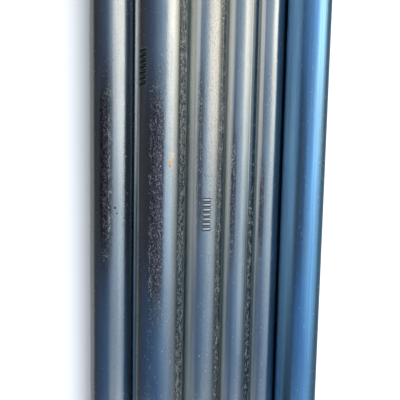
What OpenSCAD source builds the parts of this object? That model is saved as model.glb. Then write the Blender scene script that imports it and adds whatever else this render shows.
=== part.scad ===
// Stack of galvanised steel scaffold tubes, lying on a level floor: a full bottom layer,
// a full middle layer in its grooves, and one tube in the last groove of the middle layer.
// X runs along the tubes, Y across the stack and Z up. The origin is on the floor,
// under the middle of the stack.

/* [Tube] */
// Outside diameter of a tube
tube_od = 48.3; // [21.3:0.1:114.3]
// Wall thickness of a tube
tube_wall = 4; // [2:0.1:6]
// Length of a tube, as it is sold
tube_length = 1524; // [500:1:6400]
// Size of the broken edges at a sawn end, inside and outside
end_chamfer = 0.5; // [0.2:0.1:0.8]

/* [Stack] */
// Number of tubes on the floor
bottom_count = 6; // [3:1:12]
// Clearance between tubes that lie against each other
seat_gap = 0.3; // [0.1:0.1:0.8]
// How far the first tube on the floor has rolled away from its neighbour
edge_roll = 2; // [0:0.5:15]
// Most that a tube's end stands out from the stack, or lies back in it
end_stagger = 5; // [0:0.5:30]

/* [Hidden] */
$fn = 96;
tube_r = tube_od / 2;
bore_r = tube_r - tube_wall;
seat_pitch = tube_od + seat_gap;
middle_count = bottom_count - 1;
stack_width = tube_od + edge_roll + (bottom_count - 1) * seat_pitch;

// How far each tube is pushed along its length, as shares of end_stagger, used in turn
BOTTOM_PUSH = [0.35, -1, 1, -0.2, 0.6, -0.55];
MIDDLE_PUSH = [-0.4, 0.75, 0.1, -0.8, 0.5];
TOP_PUSH = -0.3;

// Tube axes are [y, z] points. Tubes in a layer count from 1, at the open side of the stack.
function bottom_axis(i) =
    [-stack_width / 2 + tube_r + (i == 1 ? 0 : edge_roll + (i - 1) * seat_pitch), tube_r];

// Axis of a tube that lies in the groove between the tubes at a and b, with b on the +Y side
function groove_axis(a, b) =
    let (half = norm(b - a) / 2,
         across = (b - a) / norm(b - a),
         rise = sqrt(seat_pitch * seat_pitch - half * half))
    (a + b) / 2 + rise * [-across[1], across[0]];

function middle_axis(i) = groove_axis(bottom_axis(i), bottom_axis(i + 1));

function push(shares, i) = end_stagger * shares[(i - 1) % len(shares)];

// One tube along X, its middle at x = shift and its axis at [y, z]
module tube(axis, shift) {
    half = tube_length / 2;
    wall_section = [
        [bore_r, -half + end_chamfer],
        [bore_r + end_chamfer, -half],
        [tube_r - end_chamfer, -half],
        [tube_r, -half + end_chamfer],
        [tube_r, half - end_chamfer],
        [tube_r - end_chamfer, half],
        [bore_r + end_chamfer, half],
        [bore_r, half - end_chamfer]
    ];
    color("lightslategray")
        translate([shift, axis[0], axis[1]])
            rotate([0, 90, 0])
                rotate_extrude() polygon(wall_section);
}

module bottom_tube(i) {
    tube(bottom_axis(i), push(BOTTOM_PUSH, i));
}

module middle_tube(i) {
    tube(middle_axis(i), push(MIDDLE_PUSH, i));
}

module top_tube() {
    tube(groove_axis(middle_axis(middle_count - 1), middle_axis(middle_count)), end_stagger * TOP_PUSH);
}

for (i = [1:bottom_count])
    bottom_tube(i);
for (i = [1:middle_count])
    middle_tube(i);
top_tube();
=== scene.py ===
"""Looks for the stack of galvanised steel tubes. Metres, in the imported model's frame: X along the
tubes, Y across the stack, Z up, the origin on the floor under the middle of the stack."""
import math
import random

import bpy
from mathutils import Matrix, Vector, noise


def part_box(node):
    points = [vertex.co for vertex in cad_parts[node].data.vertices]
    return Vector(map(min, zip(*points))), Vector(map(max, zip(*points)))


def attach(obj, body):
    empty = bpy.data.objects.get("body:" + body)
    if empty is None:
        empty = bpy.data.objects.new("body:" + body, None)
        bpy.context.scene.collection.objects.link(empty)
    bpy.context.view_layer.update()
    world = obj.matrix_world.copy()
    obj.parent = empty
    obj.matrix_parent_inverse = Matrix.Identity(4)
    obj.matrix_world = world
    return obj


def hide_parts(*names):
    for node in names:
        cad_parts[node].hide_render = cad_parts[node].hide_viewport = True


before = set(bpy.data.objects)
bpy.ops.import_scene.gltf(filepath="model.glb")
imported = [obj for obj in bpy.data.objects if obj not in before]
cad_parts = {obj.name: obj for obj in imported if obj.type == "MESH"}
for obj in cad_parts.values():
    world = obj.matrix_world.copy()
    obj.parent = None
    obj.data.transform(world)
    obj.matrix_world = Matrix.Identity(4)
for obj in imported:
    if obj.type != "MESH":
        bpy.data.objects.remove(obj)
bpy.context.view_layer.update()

MM = 0.001

# ---------------------------------------------------------------- sizes of a tube
TUBE_R = 24.15 * MM
BORE_R = 20.15 * MM
LIP = 0.5 * MM
AROUND = 112
RING_STEP = 9 * MM
BORE_STEP = 4 * RING_STEP
# How far the outside waves in and out, and the size of its waves along X and round the tube
WAVE = 0.07 * MM
WAVE_SIZE = (0.09, 0.9, 0.9)
# The weld bead in the bore, how much its height varies, and over what length
BEAD_HEIGHT = 0.9 * MM
BEAD_HALF_ANGLE = math.radians(6)
BEAD_LUMPS = 0.25
BEAD_LUMP_SIZE = (0.006, 1, 1)
# The weld seam on the outside: a low ridge with a groove beside it
SEAM_HEIGHT = 0.16 * MM
SEAM_HALF_ANGLE = math.radians(2.4)
SEAM_GROOVE = 2 * math.pi / AROUND
SEAM_GROOVE_DEPTH = 0.7 * SEAM_HEIGHT
# Extra points on either side of the seam, in steps of the even points round the tube
SEAM_POINTS = [1.5, 0.75, 0.5, 0.25]
# Where the seam lies, in degrees from the top towards +Y: on two tubes that show it, and the
# range for the rest, which is turned away
SEAMS = {"middle_tube_3": -4, "middle_tube_2": 14}
SEAMS_AWAY = (100, 260)
# What is added to a tube's seed for each thing that is drawn apart, and how far the noise of one
# seed lies from the next
BEAD_SEED, COARSE_SEED, FINISH_SEED = 3, 5, 40
SEED_SHIFT = 17.3

# Rows of plain raised bars: tube, angle of the middle, x of the first bar, rubbed bright or not
MARKS = [("middle_tube_2", -25, 0.018, True), ("middle_tube_1", -72, -0.111, False)]
BARS = 7
BAR_STEP = 4.7 * MM
BAR_HALF_ANGLE = math.radians(11.5)
BAR_RINGS = 12
# How much of a rubbed bar's height an unrubbed one has
UNRUBBED_RISE = 0.6
# The bar's section along X: place, rise over the tube, and whether it is rubbed bright
BAR_SECTION = [
    (-2.1 * MM, -0.25 * MM, False), (-2.1 * MM, 0.08 * MM, False), (-1.0 * MM, 0.12 * MM, False),
    (-0.85 * MM, 0.65 * MM, True), (-0.3 * MM, 0.8 * MM, True), (0.3 * MM, 0.8 * MM, True),
    (0.85 * MM, 0.65 * MM, True), (1.0 * MM, 0.12 * MM, False), (2.1 * MM, 0.08 * MM, False),
    (2.1 * MM, -0.25 * MM, False),
]

# The order of a tube's four materials
OUTSIDE, BORE, SAWN, WORN = range(4)

# ---------------------------------------------------------------- patches on the zinc
# Each patch: tube, angle from the top towards +Y and half-width in degrees, middle along X and
# half-length in metres, strength. Some chalky, frosty and grimy ones stand in for reflections and
# shade that the photo has and the light tent doesn't give. They are fixed to the tubes.
# Coarse zinc: darker, rough and crowded with flecks and pits
COARSE = [
    ("middle_tube_1", 26, 14, 0.0, 1.0, 1.0),
    ("middle_tube_1", -40, 14, 0.02, 0.10, 0.75),
    ("middle_tube_2", 14, 12, 0.1, 0.6, 0.6),
    ("middle_tube_2", -45, 7, -0.03, 0.07, 0.7),
    ("middle_tube_3", 12, 12, 0.2, 0.25, 0.5),
    ("middle_tube_3", 4, 9, 0.14, 0.11, 0.3),
    ("middle_tube_3", -48, 6, 0.02, 0.06, 0.7),
    ("middle_tube_4", -50, 6, 0.03, 0.05, 0.7),
    ("bottom_tube_1", -43, 10, -0.01, 0.08, 0.8),
]
# Zinc with a fine sandy relief
SANDY = [
    ("middle_tube_2", -10, 26, -0.13, 0.16, 1.0),
    ("middle_tube_2", -10, 26, 0.2, 0.3, 0.45),
    ("bottom_tube_1", -20, 16, 0.0, 1.0, 0.25),
    ("middle_tube_1", -15, 14, 0.0, 1.0, 0.12),
    ("middle_tube_3", -25, 20, 0.0, 1.0, 0.12),
    ("middle_tube_4", -25, 20, 0.0, 1.0, 0.12),
]
# Dark stains with fine flecks
STAIN = [
    ("middle_tube_1", -37, 12, 0.015, 0.085, 1.0),
    ("middle_tube_2", -46, 5, -0.03, 0.05, 0.5),
    ("middle_tube_3", -50, 4, 0.02, 0.04, 0.6),
    ("middle_tube_4", -51, 4, 0.03, 0.04, 0.6),
    ("bottom_tube_1", -50, 10, -0.01, 0.07, 0.8),
]
# Painted shade: dark bands, most of them in the grooves between the tubes, the others beside
# highlights
PAINTED_SHADE = [
    ("middle_tube_1", 34, 11, 0.0, 1.0, 1.0),
    ("middle_tube_2", 28, 14, 0.0, 1.0, 1.0),
    ("middle_tube_3", 21, 16, 0.0, 1.0, 1.0),
    ("middle_tube_4", 20, 18, 0.0, 1.0, 0.2),
    ("middle_tube_5", 25, 14, 0.0, 1.0, 0.6),
    ("middle_tube_3", -10, 7, 0.0, 1.0, 0.35),
    ("middle_tube_3", -3, 7, 0.14, 0.11, 0.4),
    ("middle_tube_3", -72, 6, 0.0, 1.0, 0.6),
    ("middle_tube_4", -68, 5, 0.0, 1.0, 0.7),
    ("middle_tube_4", -6, 9, 0.0, 1.0, 0.3),
    ("bottom_tube_1", 8, 7, 0.455, 0.35, 0.6),
    ("middle_tube_1", -91, 6, 0.455, 0.35, 0.45),
    ("top_tube", -78, 12, 0.48, 0.33, 0.8),
]
# Painted highlights and reflections: bright and a little matt zinc where highlights and the
# neighbours' mirrored highlights fall
PAINTED_HIGHLIGHTS = [
    ("bottom_tube_1", -25, 14, 0.0, 1.0, 1.0),
    ("middle_tube_2", -11, 16, -0.15, 0.13, 1.0),
    ("middle_tube_2", -57, 11, 0.0, 1.0, 0.9),
    ("middle_tube_3", -58, 9, 0.0, 1.0, 0.9),
    ("middle_tube_4", -55, 8, 0.0, 1.0, 1.0),
    ("middle_tube_3", -33, 12, 0.0, 1.0, 0.35),
    ("middle_tube_4", -33, 12, 0.0, 1.0, 0.35),
    ("middle_tube_1", -93, 9, -0.28, 0.24, 1.0),
    ("top_tube", -104, 26, -0.18, 0.33, 0.7),
    ("top_tube", -104, 26, 0.0, 1.0, 0.2),
    ("middle_tube_2", -49, 9, -0.27, 0.13, 0.8),
    ("middle_tube_3", -50, 8, -0.27, 0.13, 0.8),
    ("middle_tube_4", -50, 7, -0.27, 0.13, 0.8),
]
# Painted reflections and a painted highlight: chalky zinc, which scatters light instead of
# mirroring it
PAINTED_REFLECTIONS = [
    ("middle_tube_2", -51.5, 4.5, -0.36, 0.37, 1.0),
    ("middle_tube_3", -56, 4, -0.36, 0.37, 1.0),
    ("middle_tube_4", -57, 4, -0.36, 0.37, 1.0),
    ("bottom_tube_1", -17, 13, -0.35, 0.285, 0.8),
    ("middle_tube_1", -94, 5, -0.30, 0.26, 1.0),
]
# Dull zinc: matter and a little greener
DULL = [("middle_tube_%d" % index, 64, 26, 0.0, 1.0, 0.45) for index in (1, 2, 3, 4, 5)]
DULL += [("middle_tube_1", 5, 8, 0.0, 1.0, 0.4)]
# Masks that are made of nothing but their patches
PATCHES = {"sandy": SANDY, "stain": STAIN, "painted_highlight": PAINTED_HIGHLIGHTS, "painted_reflection": PAINTED_REFLECTIONS}
# A patch is full up to 0.7 of its half-width and fades to nothing at 1.3 of it
FADE_END = 1.3
FADE_WIDTH = 0.6

# How dull a whole tube is, and the range for tubes that aren't named
FINISH = {"middle_tube_1": 0.0, "middle_tube_2": 0.3, "middle_tube_3": 0.12, "middle_tube_4": 0.1,
          "bottom_tube_1": 0.18, "top_tube": 0.35}
OTHER_FINISH = (0.05, 0.4)
# The tubes whose zinc is blue
BLUE_TUBES = ("top_tube",)
# How coarse the zinc is outside its patches: a middle, how far it drifts, and over what length
COARSE_MIDDLE = 0.14
COARSE_DRIFT = 0.22
COARSE_DRIFT_SIZE = (0.10, 0.5, 0.5)


def value_at(point, size, seed):
    """Smooth noise from about -1 to 1, with features of the given size (x, y, z)."""
    place = Vector((point[0] / size[0], point[1] / size[1], point[2] / size[2] + SEED_SHIFT * seed))
    return noise.noise(place)


def node_axis(node):
    """Where a CAD tube lies: its axis (y, z), and the x of its two ends."""
    low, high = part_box(node)
    return (low[1] + high[1]) / 2, (low[2] + high[2]) / 2, low[0], high[0]


def on_tube(node, angle, x):
    """The point on a tube's outside at an angle from the top towards +Y, in degrees."""
    y, z, _low, _high = node_axis(node)
    turn = math.radians(angle)
    return (x, y + TUBE_R * math.sin(turn), z + TUBE_R * math.cos(turn))


# Blots on the zinc: middle, radius, colour
BLOTS = [
    (on_tube("middle_tube_1", -9, -0.0165), 2.5 * MM, (0.92, 0.64, 0.42)),
    (on_tube("middle_tube_1", -6, -0.0225), 2.7 * MM, (1.0, 0.88, 0.72)),
    (on_tube("middle_tube_1", -11, -0.0125), 1.5 * MM, (0.85, 0.55, 0.36)),
    (on_tube("bottom_tube_1", -26, 0.026), 1.1 * MM, (0.20, 0.19, 0.18)),
    (on_tube("bottom_tube_1", -21, 0.031), 0.9 * MM, (0.20, 0.19, 0.18)),
]


# ---------------------------------------------------------------- node helpers
class Shader:
    """A node tree with short calls for the nodes that the materials use."""

    def __init__(self, tree):
        self.tree = tree
        tree.nodes.clear()

    def node(self, kind, **settings):
        made = self.tree.nodes.new(kind)
        for key, setting in settings.items():
            setattr(made, key, setting)
        return made

    def feed(self, socket, source):
        """Links a socket to a source, or gives it a value. None leaves it alone."""
        if isinstance(source, bpy.types.NodeSocket):
            self.tree.links.new(source, socket)
        elif source is not None:
            socket.default_value = source

    def place(self):
        """Where a point lies on the object."""
        return self.node("ShaderNodeTexCoord").outputs["Object"]

    def mask(self, name):
        """A mask that the mesh carries on its points."""
        return self.node("ShaderNodeAttribute", attribute_name=name).outputs["Fac"]

    def math(self, operation, a, b=None, c=None):
        made = self.node("ShaderNodeMath", operation=operation)
        for socket, source in zip(made.inputs, (a, b, c)):
            self.feed(socket, source)
        return made.outputs[0]

    def vector(self, operation, a, b=None, result="Vector"):
        made = self.node("ShaderNodeVectorMath", operation=operation)
        self.feed(made.inputs[0], a)
        self.feed(made.inputs[1], b)
        return made.outputs[result]

    def noise(self, place, scale, stretch=1.0, detail=2.0, rough=0.5, distortion=0.0):
        """3-D noise with its features stretched along X."""
        squeezed = self.vector("MULTIPLY", place, (1 / stretch, 1.0, 1.0))
        made = self.node("ShaderNodeTexNoise")
        for name, setting in (("Vector", squeezed), ("Scale", scale), ("Detail", detail),
                              ("Roughness", rough), ("Distortion", distortion)):
            self.feed(made.inputs[name], setting)
        return made.outputs["Fac"]

    def ramp(self, fac, stops):
        """Colours that change evenly between (position, colour) stops."""
        made = self.node("ShaderNodeValToRGB")
        made.color_ramp.interpolation = "LINEAR"
        elements = made.color_ramp.elements
        while len(elements) > 1:
            elements.remove(elements[-1])
        for index, (position, colour) in enumerate(stops):
            stop = elements[0] if index == 0 else elements.new(position)
            stop.position = position
            stop.color = (*colour, 1.0)
        self.feed(made.inputs["Fac"], fac)
        return made.outputs["Color"]

    def span(self, source, low, high, to_low=0.0, to_high=1.0):
        """Maps low..high to to_low..to_high, clamped."""
        made = self.node("ShaderNodeMapRange", clamp=True)
        for name, setting in (("Value", source), ("From Min", low), ("From Max", high),
                              ("To Min", to_low), ("To Max", to_high)):
            self.feed(made.inputs[name], setting)
        return made.outputs["Result"]

    def mix(self, fac, a, b):
        """Mixes two colours, each a socket or a tuple of three."""
        made = self.node("ShaderNodeMix", data_type="RGBA")
        self.feed(made.inputs["Factor"], fac)
        for name, source in (("A", a), ("B", b)):
            socket = [s for s in made.inputs if s.name == name and s.type == "RGBA"][0]
            self.feed(socket, (*source, 1.0) if isinstance(source, tuple) else source)
        return [s for s in made.outputs if s.type == "RGBA"][0]

    def bump(self, bsdf, height, distance, strength=1.0):
        """Gives a surface its fine relief."""
        made = self.node("ShaderNodeBump")
        made.inputs["Strength"].default_value = strength
        made.inputs["Distance"].default_value = distance
        self.feed(made.inputs["Height"], height)
        self.feed(bsdf.inputs["Normal"], made.outputs[0])


def material(name):
    made = bpy.data.materials.new(name)
    made.use_nodes = True
    sh = Shader(made.node_tree)
    out = sh.node("ShaderNodeOutputMaterial")
    bsdf = sh.node("ShaderNodeBsdfPrincipled")
    sh.tree.links.new(bsdf.outputs[0], out.inputs["Surface"])
    return made, sh, bsdf


# ---------------------------------------------------------------- the zinc
# Colours of the zinc and of what is on it, each pair mixed by a noise
ZINC_SHADES = ((0.50, 0.545, 0.57), (0.60, 0.645, 0.66))
DRAW_LINE = (0.61, 0.65, 0.665)
DULL_ZINC = (0.52, 0.56, 0.53)
# Colours of the painted highlights and reflections
PAINTED_HIGHLIGHT_SHADES = ((0.86, 0.84, 0.77), (1.0, 0.96, 0.89))
BLUE_SHADES = ((0.25, 0.58, 1.0), (0.36, 0.71, 1.0))
COARSE_ZINC = (0.26, 0.25, 0.215)
# Painted shade in the grooves and on the bars' brims; unrubbed bars are this dark all over
SHADE_AND_DARK_BAR_ZINC = (0.05, 0.075, 0.075)
STAIN_SHADES = ((0.12, 0.11, 0.14), (0.20, 0.17, 0.19))
FLECK = (0.90, 0.87, 0.76)
FLECK_ON_STAIN = (0.74, 0.62, 0.55)
PIT = (0.10, 0.10, 0.105)
SAND = (0.34, 0.31, 0.28)


def blot(sh, place, at, radius, ragged):
    """A small ragged blot of another colour around one point: 1 inside, 0 outside."""
    away = sh.vector("LENGTH", sh.vector("SUBTRACT", place, at), result="Value")
    edge = sh.math("SUBTRACT", ragged, 0.5)
    reach = sh.math("MULTIPLY_ADD", edge, 4 * radius, away)
    return sh.span(reach, 0.75 * radius, radius, 1.0, 0.0)


def zinc_grain(sh, place):
    """The noises that the zinc is made of, from worm-like crystals to clouds and draw lines."""
    return {
        "worms": sh.noise(place, 620, stretch=1.4, detail=4, rough=0.62, distortion=0.8),
        "sand": sh.noise(place, 900, stretch=1.3, detail=3, rough=0.65),
        "mottle": sh.noise(place, 130, stretch=2.5, detail=3, rough=0.55),
        "cloud": sh.noise(place, 24, stretch=3, detail=2, rough=0.5),
        "streak": sh.noise(place, 520, stretch=70, detail=2, rough=0.6),
        "crumbs": sh.noise(place, 820, stretch=1.2, detail=3, rough=0.6, distortion=0.6),
        "cluster": sh.noise(place, 230, stretch=1.7, detail=2, rough=0.5),
    }


def zinc_flecks(sh, grain, coarse):
    """Matt flecks in clusters, which crowd together where the zinc is coarse: 1 on a fleck."""
    edge = sh.math("MULTIPLY_ADD", coarse, -0.22, 0.73)
    edge = sh.math("MULTIPLY_ADD", sh.math("SUBTRACT", grain["cluster"], 0.5), 0.40, edge)
    return sh.span(grain["worms"], edge, sh.math("ADD", edge, 0.04))


def clean_zinc(sh, grain, masks):
    """The zinc's colour without dirt: mottled, with draw lines, dull, blue, and bright as painted
    highlights and reflections.
    """
    lines = sh.span(grain["streak"], 0.35, 0.65)
    zinc = sh.mix(sh.span(grain["mottle"], 0.35, 0.65), *ZINC_SHADES)
    zinc = sh.mix(sh.span(grain["streak"], 0.3, 0.75), zinc, DRAW_LINE)
    zinc = sh.mix(sh.math("MULTIPLY", masks["dull"], 0.6), zinc, DULL_ZINC)
    # Painted highlights and reflections: the zinc made bright
    zinc = sh.mix(sh.math("MULTIPLY", masks["painted_highlight"], 0.9), zinc, sh.mix(lines, *PAINTED_HIGHLIGHT_SHADES))
    return sh.mix(masks["blue"], zinc, sh.mix(lines, *BLUE_SHADES))


def marked_zinc(sh, place, grain, masks, flecks, zinc):
    """The zinc's colour with its coarse zones, painted shade, dark unrubbed bars, stains, flecks,
    pits, sand and blots.
    """
    zinc = sh.mix(sh.math("MULTIPLY", masks["coarse"], 0.75), zinc, COARSE_ZINC)
    # Painted shade in the grooves and on the bars' brims, and the unrubbed bars, darken the zinc
    zinc = sh.mix(sh.math("MULTIPLY", masks["shade_and_dark_bars"], 0.88), zinc, SHADE_AND_DARK_BAR_ZINC)

    stained = sh.math("SUBTRACT", grain["worms"], 0.5)
    stained = sh.span(sh.math("MULTIPLY_ADD", stained, 1.2, masks["stain"]), 0.35, 0.60)
    dark = sh.mix(sh.span(grain["mottle"], 0.40, 0.60), *STAIN_SHADES)
    zinc = sh.mix(sh.math("MULTIPLY", stained, 0.93), zinc, dark)

    shown = sh.math("SUBTRACT", sh.span(grain["crumbs"], 0.51, 0.57), flecks)
    shown = sh.math("MULTIPLY_ADD", shown, stained, flecks)
    fleck = sh.mix(stained, FLECK, FLECK_ON_STAIN)
    zinc = sh.mix(sh.math("MULTIPLY", shown, 0.8), zinc, fleck)

    pits = sh.span(grain["sand"], 0.56, 0.64)
    zinc = sh.mix(sh.math("MULTIPLY", pits, masks["coarse"]), zinc, PIT)
    sandy = sh.math("MULTIPLY", masks["sandy"], 0.42)
    zinc = sh.mix(sh.math("MULTIPLY", sh.span(grain["sand"], 0.48, 0.60), sandy), zinc, SAND)

    for at, radius, colour in BLOTS:
        darker = tuple(0.55 * part for part in colour)
        shade = sh.mix(sh.span(grain["sand"], 0.35, 0.62), colour, darker)
        zinc = sh.mix(blot(sh, place, at, radius, grain["worms"]), zinc, shade)
    return zinc


def zinc_metallic(sh, masks):
    """Bare metal, but less so where the zinc is blue, most of all where it is also a painted
    highlight, and where chalky zinc makes a painted reflection."""
    pale = sh.math("MULTIPLY_ADD", masks["painted_highlight"], 0.60, 0.06)
    pale = sh.math("MULTIPLY", masks["blue"], pale)
    # Chalky zinc of the painted reflections is half diffuse
    return sh.math("SUBTRACT", 1.0, sh.math("MULTIPLY_ADD", masks["painted_reflection"], 0.5, pale))


def zinc_roughness(sh, grain, masks, flecks):
    rough = sh.span(grain["cloud"], 0.3, 0.7, 0.06, 0.10)
    lines = sh.span(grain["streak"], 0.4, 0.8)
    for source, amount in ((lines, 0.03), (masks["dull"], 0.42), (masks["painted_highlight"], 0.17),
                           (flecks, 0.30), (masks["shade_and_dark_bars"], 0.12)):
        rough = sh.math("MULTIPLY_ADD", source, amount, rough)
    return rough


def zinc_height(sh, grain, masks, flecks):
    """The zinc's fine relief, in parts of the bump's distance."""
    height = sh.math("MULTIPLY_ADD", masks["sandy"], 1.3, 0.10)
    height = sh.math("MULTIPLY", grain["sand"], height)
    coarse = sh.math("MULTIPLY", masks["coarse"], 2.2)
    height = sh.math("MULTIPLY_ADD", grain["worms"], coarse, height)
    for source, amount in ((flecks, 0.15), (grain["streak"], 0.08), (grain["mottle"], 0.30)):
        height = sh.math("MULTIPLY_ADD", source, amount, height)
    return height


def galvanised_zinc():
    """Weathered hot-dip zinc: a mirror with draw lines, mottling and matt flecks, changed where the
    mesh's masks say so, painted shade, painted highlights and painted reflections among them."""
    made, sh, bsdf = material("galvanised_zinc")
    place = sh.place()
    masks = {name: sh.mask(name) for name in ("coarse", "shade_and_dark_bars", "dull", "blue", *PATCHES)}
    grain = zinc_grain(sh, place)
    flecks = zinc_flecks(sh, grain, masks["coarse"])
    zinc = marked_zinc(sh, place, grain, masks, flecks, clean_zinc(sh, grain, masks))
    sh.feed(bsdf.inputs["Base Color"], zinc)
    sh.feed(bsdf.inputs["Metallic"], zinc_metallic(sh, masks))
    sh.feed(bsdf.inputs["Roughness"], zinc_roughness(sh, grain, masks, flecks))
    sh.bump(bsdf, zinc_height(sh, grain, masks, flecks), 0.22 * MM)
    return made


# ---------------------------------------------------------------- the other materials
def worn_zinc():
    """The tops of the raised bars, rubbed bright."""
    made, sh, bsdf = material("worn_zinc")
    rub = sh.noise(sh.place(), 1100, detail=3, rough=0.6)
    colour = sh.mix(sh.span(rub, 0.35, 0.65), (0.70, 0.73, 0.74), (0.90, 0.91, 0.91))
    sh.feed(bsdf.inputs["Base Color"], colour)
    bsdf.inputs["Metallic"].default_value = 1.0
    sh.feed(bsdf.inputs["Roughness"], sh.span(rub, 0.35, 0.65, 0.42, 0.28))
    sh.bump(bsdf, rub, 0.05 * MM)
    return made


def bore_zinc():
    """The inside of a tube: duller and darker zinc."""
    made, sh, bsdf = material("bore_zinc")
    place = sh.place()
    mottle = sh.noise(place, 160, stretch=2, detail=3)
    streak = sh.noise(place, 300, stretch=40, detail=2)
    colour = sh.mix(sh.span(mottle, 0.3, 0.7), (0.40, 0.42, 0.43), (0.58, 0.60, 0.61))
    colour = sh.mix(sh.span(streak, 0.5, 0.8, 0, 0.5), colour, (0.30, 0.25, 0.21))
    sh.feed(bsdf.inputs["Base Color"], colour)
    bsdf.inputs["Metallic"].default_value = 1.0
    sh.feed(bsdf.inputs["Roughness"], sh.span(mottle, 0.3, 0.7, 0.42, 0.6))
    sh.bump(bsdf, mottle, 0.1 * MM)
    return made


def sawn_steel():
    """The sawn end of a tube: bare steel with saw lines and a breath of rust."""
    made, sh, bsdf = material("sawn_steel")
    place = sh.place()
    lines = sh.node("ShaderNodeTexNoise")
    sh.feed(lines.inputs["Vector"], sh.vector("MULTIPLY", place, (1.0, 0.08, 1.0)))
    lines.inputs["Scale"].default_value = 2400
    lines = lines.outputs["Fac"]
    patch = sh.noise(place, 210, detail=4, rough=0.6)
    colour = sh.mix(sh.span(lines, 0.35, 0.65), (0.36, 0.36, 0.37), (0.50, 0.50, 0.51))
    colour = sh.mix(sh.span(patch, 0.50, 0.66, 0, 0.6), colour, (0.27, 0.17, 0.11))
    sh.feed(bsdf.inputs["Base Color"], colour)
    sh.feed(bsdf.inputs["Metallic"], sh.span(patch, 0.50, 0.70, 1.0, 0.55))
    sh.feed(bsdf.inputs["Roughness"], sh.span(patch, 0.4, 0.7, 0.38, 0.65))
    sh.bump(bsdf, lines, 0.05 * MM, strength=0.6)
    return made


# ---------------------------------------------------------------- the tubes
def patches_at(patches, name, angle, x):
    """How strong the patches are at a place on a tube, from 0 to 1."""
    total = 0.0
    for tube, middle, half, at, length, strength in patches:
        if tube == name:
            turn = (math.degrees(angle) - middle + 180) % 360 - 180
            across = min(1.0, max(0.0, (FADE_END - abs(turn) / half) / FADE_WIDTH))
            along = min(1.0, max(0.0, (FADE_END - abs(x - at) / length) / FADE_WIDTH))
            total += strength * across * along
    return min(1.0, total)


def coarse_at(node, angle, x, seed):
    """How coarse the zinc is: a little everywhere, and much in the patches."""
    place = (x, math.cos(angle), math.sin(angle))
    drift = COARSE_MIDDLE + COARSE_DRIFT * value_at(place, COARSE_DRIFT_SIZE, seed + COARSE_SEED)
    return min(1.0, max(0.0, drift) + patches_at(COARSE, node, angle, x))


def ring_angles(seam):
    """Angles of the points around a tube, closer together beside its weld seam."""
    step = 2 * math.pi / AROUND
    turns = list(range(AROUND)) + SEAM_POINTS + [AROUND - turn for turn in SEAM_POINTS]
    return [seam + step * turn for turn in sorted(turns)]


def stations(low, high, step):
    """Even places from low to high, about a step apart."""
    count = max(2, round((high - low) / step))
    return [low + (high - low) * index / count for index in range(count + 1)]


def seam_rise(angle, seam, half_width, height):
    """The height of a rounded ridge along the seam."""
    turn = (angle - seam + math.pi) % (2 * math.pi) - math.pi
    if abs(turn) >= half_width:
        return 0.0
    return height * math.cos(math.pi * turn / (2 * half_width)) ** 2


def lip_rows(x_end, outward):
    """Rows of the profile across a sawn end, from the outside to the bore."""
    rows = []
    for turn in (30, 60, 90):
        t = math.radians(turn)
        rows.append((x_end + outward * LIP * (math.sin(t) - 1), TUBE_R - LIP + LIP * math.cos(t)))
    for turn in (90, 45, 0):
        t = math.radians(turn)
        rows.append((x_end + outward * LIP * (math.sin(t) - 1), BORE_R + LIP - LIP * math.cos(t)))
    return rows


def tube_mesh(node, seed, seam):
    """Points, faces and material of each face: a gently uneven outside with its weld seam,
    rounded lips, sawn ends, and a bore with its weld bead."""
    y, z, x0, x1 = node_axis(node)

    def outside(angle, x):
        rise = seam_rise(angle, seam, SEAM_HALF_ANGLE, SEAM_HEIGHT)
        rise -= seam_rise(angle, seam - SEAM_GROOVE, 0.5 * SEAM_GROOVE, SEAM_GROOVE_DEPTH)
        return rise + WAVE * value_at((x, math.cos(angle), math.sin(angle)), WAVE_SIZE, seed)

    def inside(angle, x):
        lumps = 1 + BEAD_LUMPS * value_at((x, 0, 0), BEAD_LUMP_SIZE, seed + BEAD_SEED)
        return -lumps * seam_rise(angle, seam, BEAD_HALF_ANGLE, BEAD_HEIGHT)

    rows = [(x, TUBE_R, outside) for x in stations(x0 + LIP, x1 - LIP, RING_STEP)]
    far_lip = len(rows)
    rows += [(x, radius, None) for x, radius in lip_rows(x1, 1)]
    bore = len(rows)
    rows += [(x, BORE_R, inside) for x in reversed(stations(x0 + LIP, x1 - LIP, BORE_STEP))]
    near_lip = len(rows)
    rows += [(x, radius, None) for x, radius in reversed(lip_rows(x0, -1))]

    angles = ring_angles(seam)
    around = len(angles)
    verts, faces, slots = [], [], []
    for row, (x, radius, shape) in enumerate(rows):
        for angle in angles:
            r = radius + (shape(angle, x) if shape else 0.0)
            verts.append((x, y + r * math.sin(angle), z + r * math.cos(angle)))
        after = (row + 1) % len(rows)
        sawn_face = far_lip <= row < bore - 1 or near_lip <= row < len(rows) - 1
        slot = SAWN if sawn_face else BORE if bore - 1 <= row < near_lip else OUTSIDE
        for col in range(around):
            right = (col + 1) % around
            faces.append((row * around + col, row * around + right,
                          after * around + right, after * around + col))
            slots.append(slot)
    return verts, faces, slots


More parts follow.
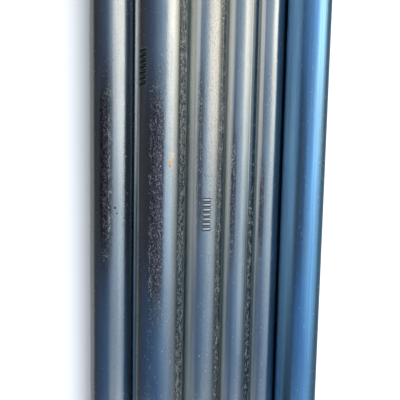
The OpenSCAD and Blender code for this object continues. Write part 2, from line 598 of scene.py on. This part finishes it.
def raised_bar(node, angle, x, rubbed):
    """Points, darkness on each point (painted shade on the low brim, and all over an unrubbed bar),
    faces and material of each face of one plain raised bar that lies round a tube: a flat top with
    steep sides on a low brim darkened as painted shade, narrowing at its two ends, and rubbed
    bright or all dark."""
    y, z, _low, _high = node_axis(node)
    sides = len(BAR_SECTION)
    verts, shade_and_dark_points, faces, slots = [], [], [], []
    for ring in range(BAR_RINGS + 1):
        along = 2 * ring / BAR_RINGS - 1
        swell = max(0.05, 1 - along ** 6) ** 0.5
        turn = math.radians(angle) + along * BAR_HALF_ANGLE
        for across, rise, bright in BAR_SECTION:
            r = TUBE_R + rise * (swell if rise > 0 else 1) * (1.0 if rubbed else UNRUBBED_RISE)
            verts.append((x + swell * across, y + r * math.sin(turn), z + r * math.cos(turn)))
            # Painted shade on the brim; an unrubbed bar is dark all over
            shade_and_dark_points.append(0.0 if rubbed and bright else 1.0)
    for ring in range(BAR_RINGS):
        for side in range(sides):
            right = (side + 1) % sides
            faces.append((ring * sides + side, ring * sides + right,
                          (ring + 1) * sides + right, (ring + 1) * sides + side))
            worn = rubbed and BAR_SECTION[side][2] and BAR_SECTION[right][2]
            slots.append(WORN if worn else OUTSIDE)
    faces.append(tuple(reversed(range(sides))))
    faces.append(tuple(BAR_RINGS * sides + side for side in range(sides)))
    return verts, shade_and_dark_points, faces, slots + [OUTSIDE, OUTSIDE]


def add_marks(node, verts, shade_and_dark_bars, faces, slots):
    """Adds a tube's row of raised bars to its mesh."""
    for tube, angle, x, rubbed in MARKS:
        if tube == node:
            for bar in range(BARS):
                first = len(verts)
                made = raised_bar(node, angle, x + bar * BAR_STEP, rubbed)
                bar_verts, bar_shade_and_dark, bar_faces, bar_slots = made
                verts.extend(bar_verts)
                shade_and_dark_bars.extend(bar_shade_and_dark)
                faces.extend(tuple(first + index for index in face) for face in bar_faces)
                slots.extend(bar_slots)


def set_mask(mesh, name, values):
    """Gives the mesh a mask for the zinc to read."""
    mask = mesh.attributes.new(name, "FLOAT", "POINT")
    mask.data.foreach_set("value", values)


def set_masks(mesh, node, seed, places, shade_and_dark_bars):
    """Gives a tube's mesh all of its masks. Places are the points' angles and x."""
    finish = FINISH.get(node, random.Random(seed + FINISH_SEED).uniform(*OTHER_FINISH))
    dull = [min(1.0, finish + patches_at(DULL, node, angle, x)) for angle, x in places]
    set_mask(mesh, "coarse", [coarse_at(node, angle, x, seed) for angle, x in places])
    set_mask(mesh, "shade_and_dark_bars", shade_and_dark_bars)
    set_mask(mesh, "dull", dull)
    set_mask(mesh, "blue", [1.0 if node in BLUE_TUBES else 0.0] * len(places))
    for name, patches in PATCHES.items():
        set_mask(mesh, name, [patches_at(patches, node, angle, x) for angle, x in places])


def tube_piece(node, seed, finishes):
    """One tube with its masks and materials."""
    seam = math.radians(SEAMS.get(node, random.Random(seed).uniform(*SEAMS_AWAY)))
    verts, faces, slots = tube_mesh(node, seed, seam)
    y, z, _low, _high = node_axis(node)

    def places():
        return [(math.atan2(vert[1] - y, vert[2] - z), vert[0]) for vert in verts]

    # Painted shade in the grooves and beside highlights, from its patches
    shade_and_dark_bars = [patches_at(PAINTED_SHADE, node, angle, x) for angle, x in places()]
    add_marks(node, verts, shade_and_dark_bars, faces, slots)
    mesh = bpy.data.meshes.new(node + "_tube")
    mesh.from_pydata(verts, [], faces)
    for made in finishes:
        mesh.materials.append(made)
    mesh.polygons.foreach_set("material_index", slots)
    mesh.polygons.foreach_set("use_smooth", [True] * len(faces))
    set_masks(mesh, node, seed, places(), shade_and_dark_bars)
    mesh.update()
    piece = bpy.data.objects.new(node + "_tube", mesh)
    bpy.context.scene.collection.objects.link(piece)
    return piece


# ---------------------------------------------------------------- floor, light and camera
FLOOR_HALF = 12.0


def floor():
    """A pale matt floor."""
    made, sh, bsdf = material("pale_floor")
    colour = sh.mix(sh.noise(sh.place(), 3), (0.86, 0.87, 0.88), (0.90, 0.90, 0.90))
    sh.feed(bsdf.inputs["Base Color"], colour)
    bsdf.inputs["Roughness"].default_value = 0.9
    bsdf.inputs["Specular IOR Level"].default_value = 0.1
    corners = [(FLOOR_HALF * x, FLOOR_HALF * y, 0) for x, y in ((-1, -1), (1, -1), (1, 1), (-1, 1))]
    mesh = bpy.data.meshes.new("floor")
    mesh.from_pydata(corners, [], [(0, 1, 2, 3)])
    mesh.materials.append(made)
    obj = bpy.data.objects.new("floor", mesh)
    bpy.context.scene.collection.objects.link(obj)
    obj.visible_glossy = False


# Light by its angle from straight up towards +Y, in degrees: what the tubes mirror. The stops were
# set first after the photo's colours by the direction that its tubes mirror, then by comparing
# renders with the photo. Directions that the photo doesn't show are guesses.
WARM_SIDE = [
    (-180, (0.30, 0.32, 0.33)), (-142, (0.30, 0.32, 0.33)), (-132, (0.055, 0.048, 0.045)),
    (-85, (0.07, 0.09, 0.14)), (-60, (0.11, 0.16, 0.26)), (-35, (0.24, 0.34, 0.47)),
    (-12, (0.48, 0.60, 0.73)), (1, (1.50, 1.45, 1.35)), (20, (1.95, 1.84, 1.62)),
    (42, (1.18, 1.04, 0.84)), (53, (0.18, 0.17, 0.14)), (64, (0.06, 0.065, 0.065)),
    (80, (0.06, 0.07, 0.07)), (100, (0.30, 0.31, 0.32)), (140, (0.42, 0.43, 0.44)),
    (180, (0.30, 0.32, 0.33)),
]
MIDDLE = [
    (-180, (0.30, 0.32, 0.33)), (-142, (0.30, 0.32, 0.33)), (-132, (0.055, 0.048, 0.048)),
    (-85, (0.06, 0.08, 0.12)), (-60, (0.09, 0.14, 0.24)), (-38, (0.20, 0.28, 0.40)),
    (-18, (0.36, 0.48, 0.64)), (-4, (0.62, 0.78, 0.96)), (14, (0.76, 0.90, 1.02)),
    (29, (0.64, 0.70, 0.74)), (47, (0.24, 0.27, 0.27)), (58, (0.08, 0.10, 0.10)),
    (80, (0.06, 0.07, 0.08)), (100, (0.30, 0.31, 0.32)), (140, (0.42, 0.43, 0.44)),
    (180, (0.30, 0.32, 0.33)),
]
COOL_SIDE = [
    (-180, (0.30, 0.32, 0.34)), (-142, (0.30, 0.32, 0.34)), (-132, (0.06, 0.07, 0.09)),
    (-90, (0.05, 0.10, 0.20)), (-60, (0.06, 0.13, 0.26)), (-35, (0.08, 0.155, 0.30)),
    (-12, (0.14, 0.24, 0.40)), (5, (0.20, 0.31, 0.48)), (25, (0.18, 0.26, 0.37)),
    (42, (0.11, 0.14, 0.18)), (55, (0.06, 0.08, 0.10)), (80, (0.05, 0.07, 0.09)),
    (100, (0.30, 0.31, 0.33)), (140, (0.42, 0.43, 0.44)), (180, (0.30, 0.32, 0.34)),
]
# The lean towards +X, out of the YZ plane, at which each side is full
WARM_LEAN, MIDDLE_LEAN, COOL_LEAN = (math.radians(lean) for lean in (-28, 3, 37))
# A dark rounded screen on the open side: its middle and half-size, round the tubes and along them
SCREEN_AT = (math.radians(-78), math.radians(0))
SCREEN_SIZE = (math.radians(32), math.radians(17))
SCREEN_COLOUR = (0.05, 0.052, 0.065)
SCREEN_ROUNDING = 2.5
SCREEN_EDGE = (0.85, 1.15)
# The light tent's two ends, and the lean either way where they begin and where they are full
ENDS = [
    (-180, (0.40, 0.41, 0.42)), (-110, (0.52, 0.53, 0.54)), (-86, (0.70, 0.72, 0.75)),
    (-70, (0.72, 0.74, 0.77)), (-58, (0.36, 0.38, 0.41)), (-40, (0.38, 0.41, 0.45)),
    (-22, (0.62, 0.68, 0.74)), (0, (0.88, 0.92, 0.96)), (22, (0.66, 0.71, 0.76)),
    (42, (0.40, 0.42, 0.45)), (58, (0.38, 0.39, 0.41)), (70, (0.74, 0.76, 0.78)),
    (86, (0.70, 0.72, 0.74)), (110, (0.52, 0.53, 0.54)), (180, (0.40, 0.41, 0.42)),
]
ENDS_FROM, ENDS_FULL = math.radians(39.5), math.radians(42.5)


def ring_stops(light):
    """Stops of a ramp that runs from -180 to 180 degrees."""
    return [((angle + 180) / 360, colour) for angle, colour in light]


def screen_mask(sh, turn, lean):
    """1 inside the dark screen, 0 outside it, with a narrow soft edge."""
    reach = []
    for angle, at, size in zip((turn, lean), SCREEN_AT, SCREEN_SIZE):
        share = sh.math("DIVIDE", sh.math("SUBTRACT", angle, at), size)
        reach.append(sh.math("POWER", sh.math("ABSOLUTE", share), SCREEN_ROUNDING))
    return sh.span(sh.math("ADD", *reach), *SCREEN_EDGE, 1.0, 0.0)


def tent_light(sh):
    """The light tent's colour in each direction."""
    split = sh.node("ShaderNodeSeparateXYZ")
    sh.feed(split.inputs[0], sh.node("ShaderNodeTexCoord").outputs["Generated"])
    turn = sh.math("ARCTAN2", split.outputs["Y"], split.outputs["Z"])
    lean = sh.math("ARCSINE", split.outputs["X"])
    screen = screen_mask(sh, turn, lean)
    turn = sh.span(turn, -math.pi, math.pi)
    warm, middle, cool, ends = (sh.ramp(turn, ring_stops(side))
                                for side in (WARM_SIDE, MIDDLE, COOL_SIDE, ENDS))
    light = sh.mix(sh.span(lean, WARM_LEAN, MIDDLE_LEAN), warm, middle)
    light = sh.mix(sh.span(lean, MIDDLE_LEAN, COOL_LEAN), light, cool)
    light = sh.mix(screen, light, SCREEN_COLOUR)
    return sh.mix(sh.span(sh.math("ABSOLUTE", lean), ENDS_FROM, ENDS_FULL), light, ends)


def studio_world():
    """A soft light tent: warm towards -X, cool towards +X, brightest along a band overhead. The
    camera itself sees plain white."""
    world = bpy.data.worlds.new("studio")
    world.use_nodes = True
    bpy.context.scene.world = world
    sh = Shader(world.node_tree)
    glow = sh.node("ShaderNodeBackground")
    sh.feed(glow.inputs["Color"], tent_light(sh))
    plain = sh.node("ShaderNodeBackground")
    plain.inputs["Color"].default_value = (1, 1, 1, 1)
    pick = sh.node("ShaderNodeMixShader")
    sh.feed(pick.inputs[0], sh.node("ShaderNodeLightPath").outputs["Is Camera Ray"])
    sh.tree.links.new(glow.outputs[0], pick.inputs[1])
    sh.tree.links.new(plain.outputs[0], pick.inputs[2])
    sh.tree.links.new(pick.outputs[0], sh.node("ShaderNodeOutputWorld").inputs["Surface"])


FLOOR_LIGHT_WIDTH = math.radians(110)
FLOOR_LIGHT_POWER = 2.7


def floor_light():
    """A very wide soft light from overhead for the floor and for the chalky zinc of the painted
    reflections. Mirrors don't show it."""
    light = bpy.data.lights.new("overhead", "SUN")
    light.angle = FLOOR_LIGHT_WIDTH
    light.energy = FLOOR_LIGHT_POWER
    obj = bpy.data.objects.new("overhead", light)
    obj.visible_glossy = False
    bpy.context.scene.collection.objects.link(obj)


# The camera, fitted to where the tubes' edges lie in the photo
CAMERA_AT = (0.0, -0.2505, 0.3123)
LOOK_DOWN = math.radians(50.6)
LEAN_TO_X = math.radians(3.5)
CAMERA_ROLL = math.radians(1.1)
LENS = 27.5
CLIP_START = 0.005


def camera():
    """Close over the stack from its open side, with the tubes running up the picture."""
    data = bpy.data.cameras.new("camera")
    data.lens = LENS
    data.clip_start = CLIP_START
    obj = bpy.data.objects.new("camera", data)
    bpy.context.scene.collection.objects.link(obj)
    forward = Vector((math.sin(LEAN_TO_X), math.cos(LEAN_TO_X) * math.cos(LOOK_DOWN),
                      -math.cos(LEAN_TO_X) * math.sin(LOOK_DOWN)))
    right = forward.cross(Vector((-1, 0, 0))).normalized()
    up = right.cross(forward)
    upright = Matrix((right, up, -forward)).transposed()
    obj.matrix_world = (Matrix.Translation(CAMERA_AT) @ upright.to_4x4()
                        @ Matrix.Rotation(CAMERA_ROLL, 4, "Z"))
    bpy.context.scene.camera = obj


camera()
studio_world()
floor_light()
floor()
bpy.context.scene.view_settings.view_transform = "Standard"

# In the order of OUTSIDE, BORE, SAWN and WORN
finishes = (galvanised_zinc(), bore_zinc(), sawn_steel(), worn_zinc())
for seed, node in enumerate(sorted(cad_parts)):
    piece = tube_piece(node, seed, finishes)
    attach(piece, "root")
    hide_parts(node)
